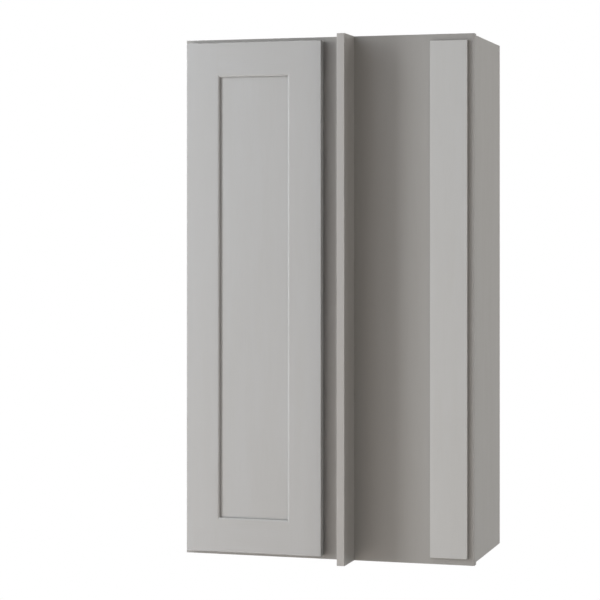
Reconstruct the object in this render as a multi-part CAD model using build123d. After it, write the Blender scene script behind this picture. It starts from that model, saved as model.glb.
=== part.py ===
from build123d import *
import os

# A blind-corner wall cabinet with a face frame, one recessed-panel door on concealed hinges, a square
# corner post and a blind front. Millimetres. X runs to the right seen from the front, Y runs back
# towards the wall and Z up. The origin lies on the wall plane, at the middle of the bottom edge.

# Whole cabinet
cabinet_width = 609.6
cabinet_height = 1066.8
cabinet_depth = 304.8             # wall to the front of the face frame

# Face frame
frame_thickness = 19.05
outer_stile_width = 38.1
rail_height = 38.1
door_opening_width = 228.6
centre_stile_width = 76.2
frame_overhang = 6.35             # frame past the outside of each side panel
frame_edge_radius = 0.8
tenon_length = 12.7
tenon_thickness = 6.35
tenon_shoulder = 6.35             # wood above and below a tenon
tongue_depth = 9.5                # blind panel's tongue in the centre stile
tongue_stop = 38.1                # the tongue stops this far from both ends

# Case
side_thickness = 12.7
deck_thickness = 12.7             # top and bottom panels
back_thickness = 6.35
groove_depth = 6.35
hanging_rail_thickness = 19.05
hanging_rail_height = 76.2

# Corner post and loose filler strip
post_thickness = 16.0
post_depth = 76.2
post_inset = 2.0                  # seam of centre stile and blind panel to the post
post_edge_radius = 0.8
filler_width = 76.2
filler_thickness = 6.35
filler_inset = 13.1               # filler's edge to the end of the frame
filler_end_margin = 13.5          # filler's ends to the top and bottom of the frame
filler_edge_radius = 0.8

# Shelves and their pins
shelf_count = 3
shelf_thickness = 15.9
shelf_setback = 6.35              # behind the face frame
shelf_back_gap = 2.0
shelf_end_gap = 1.6
pin_pitch = 50.8
pin_row_margin = 139.7            # bottom and top decks to the first and last hole
pin_row_setback = 37.0            # rows from the face frame and from the back panel
pin_hole_radius = 3.175
pin_hole_depth = 10.0
pin_insertion = 9.5
pin_reach = 9.0                   # peg under the shelf
pin_flat_height = 2.2             # flat on the peg, above its axis
pin_collar_radius = 4.75
pin_collar_thickness = 1.2

# Door
door_overlay = 30.1625
door_thickness = 19.05
door_gap = 2.7                    # face frame to the back of the door
door_member_width = 71.0          # to its inner edge, bevel included
door_edge_radius = 1.2
door_bevel = 2.2                  # round the recess
door_panel_thickness = 6.35
door_back_lip = 6.35              # wood behind the panel
panel_groove_depth = 9.5
panel_float = 1.6                 # panel's edge to the bottom of its groove
stub_tenon_gap = 0.4
spacer_radius = 2.6
bumper_radius = 4.5
bumper_inset = 15.0               # from the door's free edge
bumper_end_inset = 32.0           # from the door's top and bottom
bumper_rest_gap = 0.1

# Hinges: one compact concealed hinge is a cup in the door, a pin, a gooseneck arm and a wrapping plate
hinge_count = 3
hinge_end_inset = 88.9            # first and last hinge from the door's ends
cup_radius = 17.5
cup_depth = 12.9
cup_wall = 0.7
cup_edge_margin = 3.0             # wood between the cup and the door's edge
cup_floor = 0.8
flange_thickness = 1.2
flange_rim = 1.0
flange_ear_radius = 6.5
flange_hole_offset = 9.5          # cup screws, from the cup's centre away from the door's edge
flange_hole_half_pitch = 22.5
pivot_inset = 7.0                 # pin from the door's hinge edge
pivot_depth = 9.5                 # pin from the back of the door
hinge_pin_radius = 1.25
hinge_pin_end_gap = 0.1           # pin's ends to the round outside of the cup
knuckle_radius = 2.4
arm_width = 9.5
arm_thickness = 2.0
arm_bend_radius = 2.2
arm_foot_width = 18.0
arm_foot_setback = 1.5            # foot behind the front of the face frame
arm_foot_end = 1.2                # foot short of the back of the face frame
plate_thickness = 2.0
plate_height = 46.0
plate_front_setback = 0.5
plate_wing_gap = 2.0              # plate's wing, behind the stile, to the side panel
plate_corner_cut = 3.0
plate_screw_half_pitch = 16.5
wing_screw_rise = 8.0             # wing's screw above the adjusting screw

# Screws, pegs and the holes for them have eight sides, and a screw's head lies on the surface
small_sides = 8
screw_shank_radius = 1.75
screw_head_radius = 3.6
screw_head_height = 1.1
cup_screw_length = 13.0
plate_screw_length = 14.0
post_screw_length = 44.0
post_screw_count = 5
filler_screw_bite = 4.0           # thread in the filler, past the blind panel
filler_screw_count = 3
frame_screw_end_inset = 76.2      # first and last screw from the ends of post and filler
adjusting_screw_radius = 2.0
adjusting_head_radius = 3.6
adjusting_head_height = 1.8
adjusting_screw_length = 9.0
adjusting_slot_length = 6.6
adjusting_slot_width = 4.6

# Clearances
groove_clearance = 0.1            # each side of a panel in its groove, a tenon in its mortise
groove_end_clearance = 0.3
screw_clearance = 0.05            # round a screw's shank
pin_clearance = 0.05              # round a shelf pin, and round a hinge pin in the arm
press_clearance = 0.02            # round a hinge pin in the cup
slot_clearance = 0.3              # beside the arm in the cup

# Places that follow from the sizes above
half_width = cabinet_width / 2
frame_front = -cabinet_depth
frame_back = frame_front + frame_thickness
frame_middle = (frame_front + frame_back) / 2
opening_left = -half_width + outer_stile_width
opening_right = opening_left + door_opening_width
opening_bottom = rail_height
opening_top = cabinet_height - rail_height
blind_left = opening_right + centre_stile_width
side_outside = half_width - frame_overhang
side_inside = side_outside - side_thickness
back_rear = -hanging_rail_thickness
back_front = back_rear - back_thickness
post_left = blind_left + post_inset
post_right = post_left + post_thickness
post_centre = (post_left + post_right) / 2
post_front = frame_front - post_depth
filler_right = half_width - filler_inset
filler_left = filler_right - filler_width
filler_centre = (filler_left + filler_right) / 2
filler_screw_length = frame_thickness + filler_screw_bite
door_left = opening_left - door_overlay
door_right = opening_right + door_overlay
door_bottom = opening_bottom - door_overlay
door_top = opening_top + door_overlay
door_back = frame_front - door_gap
door_front = door_back - door_thickness
panel_back = door_back - door_back_lip
panel_front = panel_back - door_panel_thickness
cup_centre = cup_edge_margin + cup_radius
pin_to_cup_centre = cup_centre - pivot_inset + hinge_pin_radius
hinge_pin_length = 2 * ((cup_radius**2 - pin_to_cup_centre**2) ** 0.5 - hinge_pin_end_gap)
pin_rows = (frame_back + pin_row_setback, back_front - pin_row_setback)
pin_row_length = opening_top - opening_bottom - 2 * pin_row_margin
pin_hole_count = int(pin_row_length / pin_pitch + 0.001) + 1
pin_heights = [opening_bottom + pin_row_margin + pin_pitch * i for i in range(pin_hole_count)]


def evenly(first, last, count):
    """Count places from first to last, evenly spaced."""
    return [first + (last - first) * i / (count - 1) for i in range(count)]


def shelf_pin_heights():
    """The height of the pin hole nearest to each shelf's even share of the case."""
    shares = evenly(opening_bottom, opening_top, shelf_count + 2)[1:-1]
    return [min(pin_heights, key=lambda height: abs(height - share)) for share in shares]


hinge_heights = evenly(door_bottom + hinge_end_inset, door_top - hinge_end_inset, hinge_count)
bumper_heights = (door_bottom + bumper_end_inset, door_top - bumper_end_inset)
filler_screw_inset = filler_end_margin + frame_screw_end_inset
post_screw_heights = evenly(frame_screw_end_inset, cabinet_height - frame_screw_end_inset,
                            post_screw_count)
filler_screw_heights = evenly(filler_screw_inset, cabinet_height - filler_screw_inset,
                              filler_screw_count)


# Stock shapes

def board(x, y, z):
    """A square-edged board between two values of each of X, Y and Z."""
    size = [high - low for low, high in (x, y, z)]
    centre = [(low + high) / 2 for low, high in (x, y, z)]
    return Pos(*centre) * Box(*size)


def eased_board(x, y, z, radius):
    """A board whose four front edges are rounded."""
    plain = board(x, y, z)
    return fillet(plain.faces().sort_by(Axis.Y)[0].edges(), radius)


def rod(start, end, radius):
    """A round bar from start to end, which differ along one axis only."""
    start, end = Vector(*start), Vector(*end)
    return extrude(Plane(start, z_dir=end - start) * Circle(radius), (end - start).length)


def peg(start, end, radius):
    """An eight-sided bar from start to end, round a circle of that radius."""
    start, end = Vector(*start), Vector(*end)
    outline = RegularPolygon(radius, small_sides, major_radius=False)
    return extrude(Plane(start, z_dir=end - start) * outline, (end - start).length)


def joined(solids):
    """One group of separate solids."""
    return Part() + list(solids)


def screws(places, length, shank_radius=screw_shank_radius, head_radius=screw_head_radius,
           head_height=screw_head_height):
    """A screw at each place, which is the point under its head and the direction of its shank."""
    made = []
    for point, towards in places:
        point, towards = Vector(*point), Vector(*towards)
        head = peg(point, point - towards * head_height, head_radius)
        made.append(head + peg(point, point + towards * length, shank_radius))
    return joined(made)


def screw_holes(places, length, shank_radius=screw_shank_radius):
    """The holes for such screws, from the point under each head."""
    return joined(peg(point, Vector(*point) + Vector(*towards) * (length + groove_end_clearance),
                      shank_radius + screw_clearance)
                  for point, towards in places)


right_to_left = (-1, 0, 0)
back_to_front = (0, -1, 0)


# Screws of the frame: post and filler are drawn on from behind the blind panel

post_screw_places = [((post_centre, frame_back, z), back_to_front) for z in post_screw_heights]
filler_screw_places = [((filler_centre, frame_back, z), back_to_front) for z in filler_screw_heights]


def frame_screw_holes():
    holes = screw_holes(post_screw_places, post_screw_length)
    return holes + screw_holes(filler_screw_places, filler_screw_length)


# Face frame: rails tenoned into two stiles, and the blind panel tongued into the centre stile

def frame_outline():
    return eased_board((-half_width, half_width), (frame_front, frame_back), (0, cabinet_height),
                       frame_edge_radius)


def frame_member(left, right, bottom=0.0, top=cabinet_height):
    """A piece of the frame, cut from its eased outline."""
    return frame_outline() & board((left, right), (frame_front, frame_back), (bottom, top))


def tenons(bottom, top, clearance=0.0):
    """A rail's two tenons, or the mortises that they fill."""
    reach = tenon_length + (groove_end_clearance if clearance else 0.0)
    half = tenon_thickness / 2 + clearance
    low, high = bottom + tenon_shoulder - clearance, top - tenon_shoulder + clearance
    return board((opening_left - reach, opening_right + reach),
                 (frame_middle - half, frame_middle + half), (low, high))


def frame_rail(bottom, top):
    return frame_member(opening_left, opening_right, bottom, top) + tenons(bottom, top)


def mortises():
    lower = tenons(0, opening_bottom, groove_clearance)
    return lower + tenons(opening_top, cabinet_height, groove_clearance)


def side_groove(side):
    """The groove behind the frame that holds the front edge of the left (-1) or right (1) side."""
    inner, outer = side_inside - groove_clearance, side_outside + groove_clearance
    across = (inner, outer) if side > 0 else (-outer, -inner)
    bottom = frame_back - groove_depth - groove_end_clearance
    return board(across, (bottom, frame_back), (0, cabinet_height))


def hinge_side_stile():
    stile = frame_member(-half_width, opening_left) - mortises() - side_groove(-1)
    return stile - plate_screw_holes() - adjusting_screw_holes()


def tongue(clearance=0.0):
    reach = tongue_depth + (groove_end_clearance if clearance else 0.0)
    half = tenon_thickness / 2 + clearance
    return board((blind_left - reach, blind_left), (frame_middle - half, frame_middle + half),
                 (tongue_stop - clearance, cabinet_height - tongue_stop + clearance))


def centre_stile():
    return frame_member(opening_right, blind_left) - mortises() - tongue(groove_clearance)


def blind_panel():
    return frame_member(blind_left, half_width) + tongue() - side_groove(1) - frame_screw_holes()


def corner_post():
    post = eased_board((post_left, post_right), (post_front, frame_front), (0, cabinet_height),
                       post_edge_radius)
    return post - frame_screw_holes()


def filler_strip():
    strip = eased_board((filler_left, filler_right), (frame_front - filler_thickness, frame_front),
                        (filler_end_margin, cabinet_height - filler_end_margin), filler_edge_radius)
    return strip - frame_screw_holes()


# Case: two sides grooved for the decks and the back, with hanging rails behind the back

def deck_heights(deck):
    """Bottom and top faces of the top or bottom deck, flush with the frame's opening."""
    if deck == "bottom":
        return opening_bottom - deck_thickness, opening_bottom
    return opening_top, opening_top + deck_thickness


def deck(name, clearance=0.0):
    """A deck between the sides, or the space that its grooves leave for it."""
    reach = side_inside + groove_depth - (0.0 if clearance else groove_end_clearance)
    low, high = deck_heights(name)
    front = frame_back - (groove_depth if clearance else 0.0)
    return board((-reach, reach), (front, back_front), (low - clearance, high + clearance))


def back_panel(clearance=0.0):
    reach = side_inside + groove_depth - (0.0 if clearance else groove_end_clearance)
    return board((-reach, reach), (back_front - clearance, back_rear + clearance), (0, cabinet_height))


def pin_holes(side):
    """Two rows of blind holes in the left (-1) or right (1) side."""
    face, bottom = side * side_inside, side * (side_inside + pin_hole_depth)
    return joined(peg((face, y, z), (bottom, y, z), pin_hole_radius)
                  for y in pin_rows for z in pin_heights)


def side_panel(side):
    inner, outer = sorted((side * side_inside, side * side_outside))
    panel = board((inner, outer), (frame_back - groove_depth, 0), (0, cabinet_height))
    panel -= deck("bottom", groove_clearance) + deck("top", groove_clearance)
    return panel - back_panel(groove_clearance) - pin_holes(side)


def hanging_rail(bottom):
    return board((-side_inside, side_inside), (back_rear, 0), (bottom, bottom + hanging_rail_height))


def shelf(pin_height):
    bottom = pin_height + pin_flat_height
    reach = side_inside - shelf_end_gap
    return board((-reach, reach), (frame_back + shelf_setback, back_front - shelf_back_gap),
                 (bottom, bottom + shelf_thickness))


def shelf_pin(side, y, z):
    """A flat-topped peg with a collar that meets the side."""
    face = side * side_inside
    collar_end = face - side * pin_collar_thickness
    peg_end = face - side * pin_reach
    radius = pin_hole_radius - pin_clearance
    pin = peg((face + side * pin_insertion, y, z), (peg_end, y, z), radius)
    left, right = sorted((collar_end, peg_end))
    pin -= board((left, right), (y - radius, y + radius), (z + pin_flat_height, z + 2 * radius))
    return pin + peg((face, y, z), (collar_end, y, z), pin_collar_radius)


def shelf_pins():
    return joined(shelf_pin(side, y, z)
                  for z in shelf_pin_heights() for side in (-1, 1) for y in pin_rows)


# Door: four members with a bevel and a panel groove on the inner edge, coped and stub-tenoned

def stick(length):
    """A door member along +Z whose inner edge faces +X."""
    inner, bottom = door_member_width, door_member_width - panel_groove_depth
    outline = Polyline((0, door_front), (inner - door_bevel, door_front), (inner, door_front + door_bevel),
                       (inner, panel_front - groove_clearance), (bottom, panel_front - groove_clearance),
                       (bottom, panel_back + groove_clearance), (inner, panel_back + groove_clearance),
                       (inner, door_back), (0, door_back), close=True)
    return extrude(make_face(outline), length)


def door_outline():
    return eased_board((door_left, door_right), (door_front, door_back), (door_bottom, door_top),
                       door_edge_radius)


def plain_door_stile(side):
    """The hinge stile (-1) or free stile (1) before any bore."""
    bar = stick(door_top - door_bottom)
    placed = Pos(door_left, 0, door_bottom) * bar
    if side > 0:
        placed = Pos(door_right, 0, door_bottom) * mirror(bar, about=Plane.YZ)
    return placed & door_outline()


def door_rail(end):
    """The bottom (-1) or top (1) rail, its ends cut to fit over the stiles' edge and in their grooves."""
    reach = panel_groove_depth - stub_tenon_gap
    left = door_left + door_member_width - reach
    right = door_right - door_member_width + reach
    bar = stick(right - left)
    placed = Pos(right, 0, door_bottom) * Rot(0, -90, 0) * bar
    if end > 0:
        placed = Pos(left, 0, door_top) * Rot(0, 90, 0) * bar
    return (placed & door_outline()) - plain_door_stile(-1) - plain_door_stile(1)


def door_panel():
    edge = door_member_width - panel_groove_depth + panel_float
    return board((door_left + edge, door_right - edge), (panel_front, panel_back),
                 (door_bottom + edge, door_top - edge))


def panel_spacers():
    """Rubber discs in the stiles' grooves that keep the floating panel centred."""
    y = (panel_front + panel_back) / 2
    groove = door_member_width - panel_groove_depth
    starts = (door_left + groove, door_right - groove - panel_float)
    return joined(peg((x, y, z), (x + panel_float, y, z), spacer_radius)
                  for x in starts for z in hinge_heights)


def door_bumpers():
    x = door_right - bumper_inset
    return joined(rod((x, door_back, z), (x, frame_front - bumper_rest_gap, z), bumper_radius)
                  for z in bumper_heights)


def door_hinge_stile():
    x = door_left + cup_centre
    bores = joined(rod((x, door_back, z), (x, door_back - cup_depth, z), cup_radius)
                   for z in hinge_heights)
    return plain_door_stile(-1) - bores - cup_screw_holes()


# Hinges, drawn with the origin at the door's hinge edge, on the back of the door, at the hinge's middle

stile_edge = door_overlay                             # the stile's inner edge, from the door's edge
stile_back = door_gap + frame_thickness               # the stile's back, from the back of the door
plate_face = stile_edge + plate_thickness
arm_face = plate_face + arm_thickness
plate_screw_depth = door_gap + frame_thickness / 2
plate_wing = outer_stile_width - frame_overhang - side_thickness - plate_wing_gap
ear_heights = (-flange_hole_half_pitch, flange_hole_half_pitch)
cup_screw_spots = [((cup_centre + flange_hole_offset, flange_thickness, z), back_to_front)
                   for z in ear_heights]
plate_screw_spots = [((plate_face, plate_screw_depth, -plate_screw_half_pitch), right_to_left),
                     ((plate_face, plate_screw_depth, plate_screw_half_pitch), right_to_left),
                     ((stile_edge - plate_wing / 2, stile_back + plate_thickness, wing_screw_rise),
                      back_to_front)]
adjusting_screw_spots = [((arm_face, plate_screw_depth, 0), right_to_left)]


def at_hinge(shape, height):
    """A shape drawn for one hinge, at that hinge's height on the door."""
    return Pos(door_left, door_back, height) * shape


def at_hinges(spots):
    """Screw places for one hinge, repeated for every hinge."""
    return [((door_left + x, door_back + y, z + height), towards)
            for height in hinge_heights for (x, y, z), towards in spots]


def cup_screw_holes():
    return screw_holes(at_hinges(cup_screw_spots), cup_screw_length)


def plate_screw_holes():
    return screw_holes(at_hinges(plate_screw_spots), plate_screw_length)


def adjusting_screw_holes():
    return screw_holes(at_hinges(adjusting_screw_spots), adjusting_screw_length, adjusting_screw_radius)


def adjusting_screws():
    """Screws that clamp each arm's foot to its plate."""
    return screws(at_hinges(adjusting_screw_spots), adjusting_screw_length, adjusting_screw_radius,
                  adjusting_head_radius, adjusting_head_height)


def hinge_cup():
    """A cast cup with a slot for the arm, and the flange that is screwed to the back of the door."""
    body = rod((cup_centre, -cup_depth, 0), (cup_centre, 0, 0), cup_radius)
    ears = [Pos(cup_centre + flange_hole_offset, z) * Circle(flange_ear_radius) for z in ear_heights]
    rim = Pos(cup_centre, 0) * Circle(cup_radius + flange_rim)
    flange = extrude(Plane.XZ * make_hull((Sketch() + [rim, *ears]).edges()), -flange_thickness)
    slot_half = arm_width / 2 + slot_clearance
    bowl = rod((cup_centre, -cup_depth, 0), (cup_centre, flange_thickness, 0), cup_radius - cup_wall)
    slot = bowl & board((0, 2 * cup_centre), (cup_floor - cup_depth, flange_thickness),
                        (-slot_half, slot_half))
    pin_hole = rod((pivot_inset, -pivot_depth, -cup_radius), (pivot_inset, -pivot_depth, cup_radius),
                   hinge_pin_radius + press_clearance)
    return body + flange - slot - pin_hole - screw_holes(cup_screw_spots, cup_screw_length)


def hinge_pin():
    half = hinge_pin_length / 2
    return rod((pivot_inset, -pivot_depth, -half), (pivot_inset, -pivot_depth, half), hinge_pin_radius)


def hinge_arm():
    """A gooseneck: knuckle and lower leg in the cup, then back past the stile's edge to a slotted foot."""
    deep = -pivot_depth - knuckle_radius
    half = arm_width / 2
    foot_front, foot_back = door_gap + arm_foot_setback, stile_back - arm_foot_end
    lower = board((pivot_inset, arm_face), (deep, deep + arm_thickness), (-half, half))
    upper = board((plate_face, arm_face), (deep, foot_back), (-half, half))
    upright_edges = (lower + upper).edges().filter_by(Axis.Z)
    bend = upright_edges.sort_by(lambda edge: edge.center().X - edge.center().Y)[-1]
    leg = fillet(bend, arm_bend_radius)
    knuckle = rod((pivot_inset, -pivot_depth, -half), (pivot_inset, -pivot_depth, half), knuckle_radius)
    foot = board((plate_face, arm_face), (foot_front, foot_back),
                 (-arm_foot_width / 2, arm_foot_width / 2))
    foot = chamfer(foot.edges().filter_by(Axis.X), plate_corner_cut)
    slot = Pos(arm_face, plate_screw_depth, 0) * Box(2 * arm_thickness, adjusting_slot_length,
                                                     adjusting_slot_width)
    bore = rod((pivot_inset, -pivot_depth, -half), (pivot_inset, -pivot_depth, half),
               hinge_pin_radius + pin_clearance)
    return leg + knuckle + foot - slot - bore


def hinge_plate():
    """An angle that wraps the stile's inner edge and the strip of its back inside the case."""
    half = plate_height / 2
    back = stile_back + plate_thickness
    edge = board((stile_edge, plate_face), (door_gap + plate_front_setback, back), (-half, half))
    edge = chamfer(edge.edges().filter_by(Axis.X).group_by(Axis.Y)[0], plate_corner_cut)
    wing = board((stile_edge - plate_wing, plate_face), (stile_back, back), (-half, half))
    wing = chamfer(wing.edges().filter_by(Axis.Y).group_by(Axis.X)[0], plate_corner_cut)
    angle = edge + wing - screw_holes(plate_screw_spots, plate_screw_length)
    return angle - screw_holes(adjusting_screw_spots, adjusting_screw_length, adjusting_screw_radius)


def hinge_names():
    """Hinges are named from the bottom up."""
    between = [f"middle_hinge_{i + 1}" for i in range(hinge_count - 2)]
    if hinge_count == 3:
        between = ["middle_hinge"]
    return ["lower_hinge", *between, "upper_hinge"]


def shelf_names():
    return ["lower_shelf", "middle_shelf", "upper_shelf"] if shelf_count == 3 else [
        f"shelf_{i + 1}" for i in range(shelf_count)]


def build():
    """Every piece of the cabinet by name."""
    pieces = {
        "hinge_side_stile": hinge_side_stile(),
        "centre_stile": centre_stile(),
        "top_frame_rail": frame_rail(opening_top, cabinet_height),
        "bottom_frame_rail": frame_rail(0, opening_bottom),
        "blind_panel": blind_panel(),
        "corner_post": corner_post(),
        "filler_strip": filler_strip(),
        "left_side": side_panel(-1),
        "right_side": side_panel(1),
        "top_deck": deck("top"),
        "bottom_deck": deck("bottom"),
        "back_panel": back_panel(),
        "upper_hanging_rail": hanging_rail(cabinet_height - hanging_rail_height),
        "lower_hanging_rail": hanging_rail(0),
        "shelf_pins": shelf_pins(),
        "post_screws": screws(post_screw_places, post_screw_length),
        "filler_screws": screws(filler_screw_places, filler_screw_length),
        "door_hinge_stile": door_hinge_stile(),
        "door_free_stile": plain_door_stile(1),
        "door_bottom_rail": door_rail(-1),
        "door_top_rail": door_rail(1),
        "door_panel": door_panel(),
        "panel_spacers": panel_spacers(),
        "door_bumpers": door_bumpers(),
        "hinge_cup_screws": screws(at_hinges(cup_screw_spots), cup_screw_length),
        "hinge_plate_screws": screws(at_hinges(plate_screw_spots), plate_screw_length),
        "hinge_adjusting_screws": adjusting_screws(),
    }
    for name, height in zip(shelf_names(), shelf_pin_heights()):
        pieces[name] = shelf(height)
    for name, height in zip(hinge_names(), hinge_heights):
        pieces[f"{name}_cup"] = at_hinge(hinge_cup(), height)
        pieces[f"{name}_pin"] = at_hinge(hinge_pin(), height)
        pieces[f"{name}_arm"] = at_hinge(hinge_arm(), height)
        pieces[f"{name}_plate"] = at_hinge(hinge_plate(), height)
    return pieces


os.makedirs("parts", exist_ok=True)
for name, piece in build().items():
    export_step(piece, f"parts/{name}.step")
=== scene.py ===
import math

import bmesh
import bpy
import numpy as np
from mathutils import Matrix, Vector


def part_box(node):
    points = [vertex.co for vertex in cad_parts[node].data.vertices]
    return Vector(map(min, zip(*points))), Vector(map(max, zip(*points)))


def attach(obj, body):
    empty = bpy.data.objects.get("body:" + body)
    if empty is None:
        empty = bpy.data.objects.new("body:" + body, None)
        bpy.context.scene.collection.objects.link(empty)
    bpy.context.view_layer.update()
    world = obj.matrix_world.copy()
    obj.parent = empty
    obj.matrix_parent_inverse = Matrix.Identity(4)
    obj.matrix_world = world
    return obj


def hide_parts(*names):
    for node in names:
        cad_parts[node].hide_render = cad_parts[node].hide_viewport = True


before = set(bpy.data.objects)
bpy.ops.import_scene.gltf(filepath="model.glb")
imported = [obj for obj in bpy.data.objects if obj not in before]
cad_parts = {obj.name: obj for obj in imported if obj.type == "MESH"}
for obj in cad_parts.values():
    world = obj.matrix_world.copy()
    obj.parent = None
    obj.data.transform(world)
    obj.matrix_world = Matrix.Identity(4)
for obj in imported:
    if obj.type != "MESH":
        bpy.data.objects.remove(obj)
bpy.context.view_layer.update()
mm = 0.001
weld = 0.001 * mm                 # corners nearer to each other than this are one
print("frame loaded:", len(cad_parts), "nodes")


# node trees: one short way to add a node, for materials and for geometry

def addNode(tree, kind, inputs=None, **settings):
    made = tree.nodes.new(kind)
    for name, value in settings.items():
        setattr(made, name, value)
    for name, value in (inputs or {}).items():
        if isinstance(value, bpy.types.NodeSocket):
            tree.links.new(value, made.inputs[name])
        else:
            made.inputs[name].default_value = value
    return made


def maths(tree, operation, first, second=0.0):
    return addNode(tree, "ShaderNodeMath", {0: first, 1: second}, operation=operation).outputs[0]


def between(tree, value, low, high, fromLow=0.0, fromHigh=1.0):
    # value from its own range to low..high, held at both ends
    sockets = {"Value": value, "From Min": fromLow, "From Max": fromHigh, "To Min": low, "To Max": high}
    return addNode(tree, "ShaderNodeMapRange", sockets).outputs[0]


def srgb(red, green, blue):
    def linear(level):
        share = level / 255
        return share / 12.92 if share <= 0.04045 else ((share + 0.055) / 1.055) ** 2.4
    return (linear(red), linear(green), linear(blue), 1.0)


def blended(tree, factor, first, second):
    # colours or colour sockets, first where factor is 0
    mixer = addNode(tree, "ShaderNodeMix", {0: factor, 6: first, 7: second}, data_type="RGBA")
    return mixer.outputs[2]


def mixedValue(tree, factor, first, second):
    mixer = addNode(tree, "ShaderNodeMix", {0: factor, 2: first, 3: second}, data_type="FLOAT")
    return mixer.outputs[0]


axisNumber = {"X": 0, "Y": 1, "Z": 2}
patternShift = (1.0, 1.7, 0.6)    # how a pattern's shift is shared out over the three axes


def objectPlace(tree):
    return addNode(tree, "ShaderNodeTexCoord").outputs["Object"]


def noise(tree, place, scale, detail, wander=0.0):
    sockets = {"Vector": place, "Scale": scale, "Detail": detail, "Roughness": 0.5, "Distortion": wander}
    return addNode(tree, "ShaderNodeTexNoise", sockets).outputs[0]


def pattern(tree, along, look):
    # noise drawn out along one axis: across is how many times it repeats in a metre, stretch how much
    # longer it is that way, and wander how far its lines stray
    scale = [look["across"]] * 3
    scale[axisNumber[along]] = look["across"] / look["stretch"]
    shift = [look.get("shift", 0.0) * share for share in patternShift]
    sockets = {"Vector": objectPlace(tree), "Location": shift, "Scale": scale}
    place = addNode(tree, "ShaderNodeMapping", sockets).outputs[0]
    return noise(tree, place, 1.0, look["detail"], look.get("wander", 0.0))


def shadeOf(tree, value, look):
    # how strongly a pattern shades the surface: from nothing to its shade, over its own range of values
    return between(tree, value, 0.0, look["shade"], *look["range"])


def newMaterial(name):
    material = bpy.data.materials.new(name)
    material.use_nodes = True
    tree = material.node_tree
    return material, tree, tree.nodes["Principled BSDF"]


def raised(tree, height, depth):
    sockets = {"Height": height, "Distance": depth, "Strength": 1.0}
    return addNode(tree, "ShaderNodeBump", sockets).outputs[0]


def surfaced(tree, shader, tone, gloss, height, look):
    tree.links.new(tone, shader.inputs["Base Color"])
    tree.links.new(gloss, shader.inputs["Roughness"])
    tree.links.new(raised(tree, height, look["grainDepth"]), shader.inputs["Normal"])
    shader.inputs["Specular IOR Level"].default_value = look["specular"]


def axisPart(tree, output, axis):
    # one part of the object coordinate, or of the normal in the object's own frame
    vector = addNode(tree, "ShaderNodeTexCoord").outputs[output]
    return addNode(tree, "ShaderNodeSeparateXYZ", {0: vector}).outputs[axisNumber[axis]]


# painted maple: satin lacquer that the grain of the wood still shows through
# the door is lighter than the case, the post slightly warmer; the strip's lighter coat is painted light

coats = {                         # the plain colour, and its shades over dark and light grain
    "door": {"colour": (182, 181, 179.5), "darkGrain": (178.5, 177, 175),
             "lightGrain": (184.5, 184, 183.5)},
    "post": {"colour": (180.5, 177.5, 174), "darkGrain": (177, 173.5, 169.5),
             "lightGrain": (183, 180.5, 178)},
    "case": {"colour": (165.5, 163, 159.5), "darkGrain": (162, 159, 155),
             "lightGrain": (168, 166, 163)},
    # the strip's coat is the door's paint made lighter: painted light on the strip
    "strip": {"colour": (200.5, 199.5, 197.5), "darkGrain": (197, 196, 193),
              "lightGrain": (203, 202.5, 201.5)},
}
paint = {
    "lines": {"across": 900.0, "stretch": 55.0, "detail": 3, "range": (0.3, 0.75), "shade": 0.55},
    "broad": {"across": 34.0, "stretch": 9.0, "shift": 3.1, "detail": 2, "wander": 0.4,
              "range": (0.35, 0.75), "shade": 0.6},
    "pores": {"across": 420.0, "stretch": 22.0, "shift": 7.7, "detail": 1, "range": (0.62, 0.74)},
    "poreShade": 0.3,
    "orangePeel": 420.0,          # the slight waviness of sprayed lacquer, per metre
    "peelHeight": 0.35,           # beside the grain lines' height of 1
    "grainDepth": 0.06 * mm,
    "roughness": (0.42, 0.54),
    "roughnessRange": (0.6, 1.4),
    "specular": 0.35,
}


def paintLayer(tree, along, coat):
    lines, broad = pattern(tree, along, paint["lines"]), pattern(tree, along, paint["broad"])
    pores = between(tree, pattern(tree, along, paint["pores"]), 0.0, 1.0, *paint["pores"]["range"])
    peel = noise(tree, objectPlace(tree), paint["orangePeel"], 1)
    colour, dark, light = [srgb(*coats[coat][part]) for part in ("colour", "darkGrain", "lightGrain")]
    tone = blended(tree, shadeOf(tree, lines, paint["lines"]), colour, dark)
    tone = blended(tree, shadeOf(tree, broad, paint["broad"]), tone, light)
    tone = blended(tree, maths(tree, "MULTIPLY", pores, paint["poreShade"]), tone, dark)
    gloss = between(tree, maths(tree, "ADD", lines, peel), *paint["roughness"], *paint["roughnessRange"])
    ridges = maths(tree, "ADD", lines, maths(tree, "MULTIPLY", peel, paint["peelHeight"]))
    return tone, gloss, maths(tree, "SUBTRACT", ridges, pores)


def paintedWood(along, coat):
    material, tree, shader = newMaterial("painted_" + coat + "_grain_" + along.lower())
    surfaced(tree, shader, *paintLayer(tree, along, coat), paint)
    return material


# clear-coated birch plywood: rotary-cut veneer on the faces, stacked plies at the edges

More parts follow.
